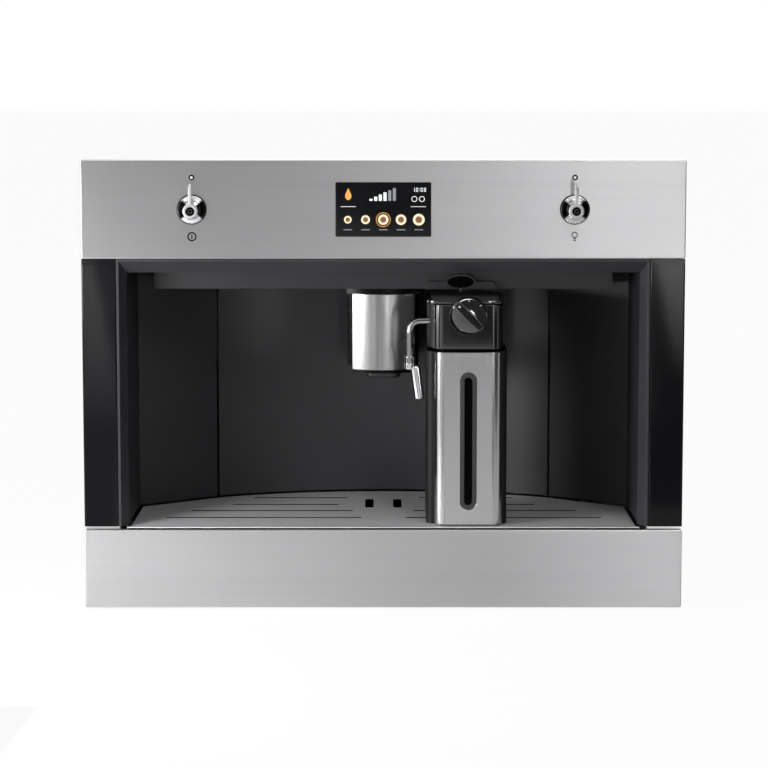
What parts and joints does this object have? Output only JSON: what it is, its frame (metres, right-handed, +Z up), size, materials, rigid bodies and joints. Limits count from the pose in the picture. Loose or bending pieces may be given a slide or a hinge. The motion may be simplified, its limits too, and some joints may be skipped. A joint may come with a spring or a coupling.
{
  "type": "built in coffee machine",
  "caption": "Bean-to-cup coffee machine for a kitchen niche, on telescopic rails, with lever controls, milk jug, height-adjustable spout and pull-out drip drawer.",
  "frame": {"origin": "centre of the cradle plate's underside, on the niche floor", "axes": "+X to the right seen from the front, +Y into the cabinet, +Z up"},
  "size_m": [0.597, 0.3997, 0.4502],
  "materials": {
    "brushed_steel": "fine horizontal brushing",
    "grille_steel": "fine horizontal brushing",
    "chrome": "polished",
    "galvanised_sheet": "dull zinc-coated sheet",
    "gloss_black": "high gloss",
    "satin_black": "satin",
    "matt_black": "matt",
    "screen_glass": "black glass",
    "circuit_board": "lacquered board",
    "light_pipe": "frosted lens",
    "clear_tank": "smoked clear plastic",
    "cast_alloy": "as cast"
  },
  "bodies": {
    "niche_cradle": {"niche_cradle": "galvanised_sheet", "rail_outer_left": "galvanised_sheet", "rail_outer_right": "galvanised_sheet"},
    "rail_middles": {"rail_middle_left": "galvanised_sheet", "rail_middle_right": "galvanised_sheet"},
    "machine": {"rail_inner_left": "galvanised_sheet", "rail_inner_right": "galvanised_sheet", "base_pan": "galvanised_sheet", "side_wall_left": "galvanised_sheet", "side_wall_right": "galvanised_sheet", "rear_wall": "galvanised_sheet", "top_cover": "galvanised_sheet", "front_frame": "galvanised_sheet", "control_panel": "brushed_steel", "control_panel_carrier": "matt_black", "display_glass": "screen_glass", "control_board": "circuit_board", "column_left": "gloss_black", "column_right": "gloss_black", "bay_surround": "satin_black", "service_door": "satin_black", "header_box": "satin_black", "steam_nozzle": "satin_black", "spout_guide": "satin_black", "rosette_left": "chrome", "rosette_right": "chrome", "indicator_left": "light_pipe", "indicator_right": "light_pipe", "switch_left": "matt_black", "switch_right": "matt_black", "bay_lamp_left": "light_pipe", "bay_lamp_right": "light_pipe", "brew_unit": "matt_black", "grinder": "cast_alloy", "bean_hopper": "matt_black", "boiler": "cast_alloy", "pump": "matt_black", "power_board": "circuit_board", "power_inlet": "matt_black", "tank_shelf": "galvanised_sheet"},
    "lever_left": {"lever_left": "chrome"},
    "lever_right": {"lever_right": "chrome"},
    "spout": {"spout_carriage": "satin_black", "spout_cover": "brushed_steel", "spout_nozzles": "satin_black"},
    "milk_jug": {"jug_body": "satin_black", "jug_cover": "brushed_steel", "jug_window": "gloss_black", "jug_lid": "gloss_black"},
    "froth_knob": {"froth_knob": "gloss_black"},
    "milk_spout": {"milk_tube": "chrome", "milk_nozzle": "chrome"},
    "drip_drawer": {"lower_panel": "brushed_steel", "lower_panel_core": "matt_black", "drip_tray": "satin_black", "cup_grille": "grille_steel", "grounds_bin": "satin_black"},
    "hopper_lid": {"hopper_lid": "satin_black"},
    "water_tank": {"water_tank": "clear_tank"}
  },
  "joints": [
    {"name": "pull_out", "type": "slide", "parent": "niche_cradle", "child": "machine", "axis": [0, -1, 0], "range_m": [0, 0.3]},
    {"name": "rail_middles_slide", "type": "slide", "parent": "niche_cradle", "child": "rail_middles", "axis": [0, -1, 0], "range_m": [0, 0.15]},
    {"name": "lever_left_turn", "type": "hinge", "parent": "machine", "child": "lever_left", "pos_m": [-0.1888, -0.2, 0.40145], "axis": [0, 1, 0], "range_deg": [-30, 30], "stiffness_Nm_per_rad": 0.04},
    {"name": "lever_right_turn", "type": "hinge", "parent": "machine", "child": "lever_right", "pos_m": [0.1888, -0.2, 0.40145], "axis": [0, 1, 0], "range_deg": [-30, 30], "stiffness_Nm_per_rad": 0.04},
    {"name": "spout_lower", "type": "slide", "parent": "machine", "child": "spout", "axis": [0, 0, -1], "range_m": [0, 0.055]},
    {"name": "jug_pull", "type": "slide", "parent": "machine", "child": "milk_jug", "axis": [0, -1, 0], "range_m": [0, 0.16]},
    {"name": "froth_turn", "type": "hinge", "parent": "milk_jug", "child": "froth_knob", "pos_m": [0.085, -0.18, 0.2953], "axis": [0, 1, 0], "range_deg": [0, 90]},
    {"name": "milk_spout_swing", "type": "hinge", "parent": "milk_jug", "child": "milk_spout", "pos_m": [0.04, -0.158, 0.2878], "axis": [1, 0, 0], "range_deg": [-50, 20]},
    {"name": "drawer_pull", "type": "slide", "parent": "machine", "child": "drip_drawer", "axis": [0, -1, 0], "range_m": [0, 0.24]},
    {"name": "hopper_lid_open", "type": "hinge", "parent": "machine", "child": "hopper_lid", "pos_m": [0, 0.1705, 0.427], "axis": [-1, 0, 0], "range_deg": [0, 100]},
    {"name": "tank_lift", "type": "slide", "parent": "machine", "child": "water_tank", "axis": [0, 0, 1], "range_m": [0, 0.22]}
  ],
  "couplings": [
    {"joint": "rail_middles_slide", "follows": "pull_out", "ratio": 0.5}
  ]
}
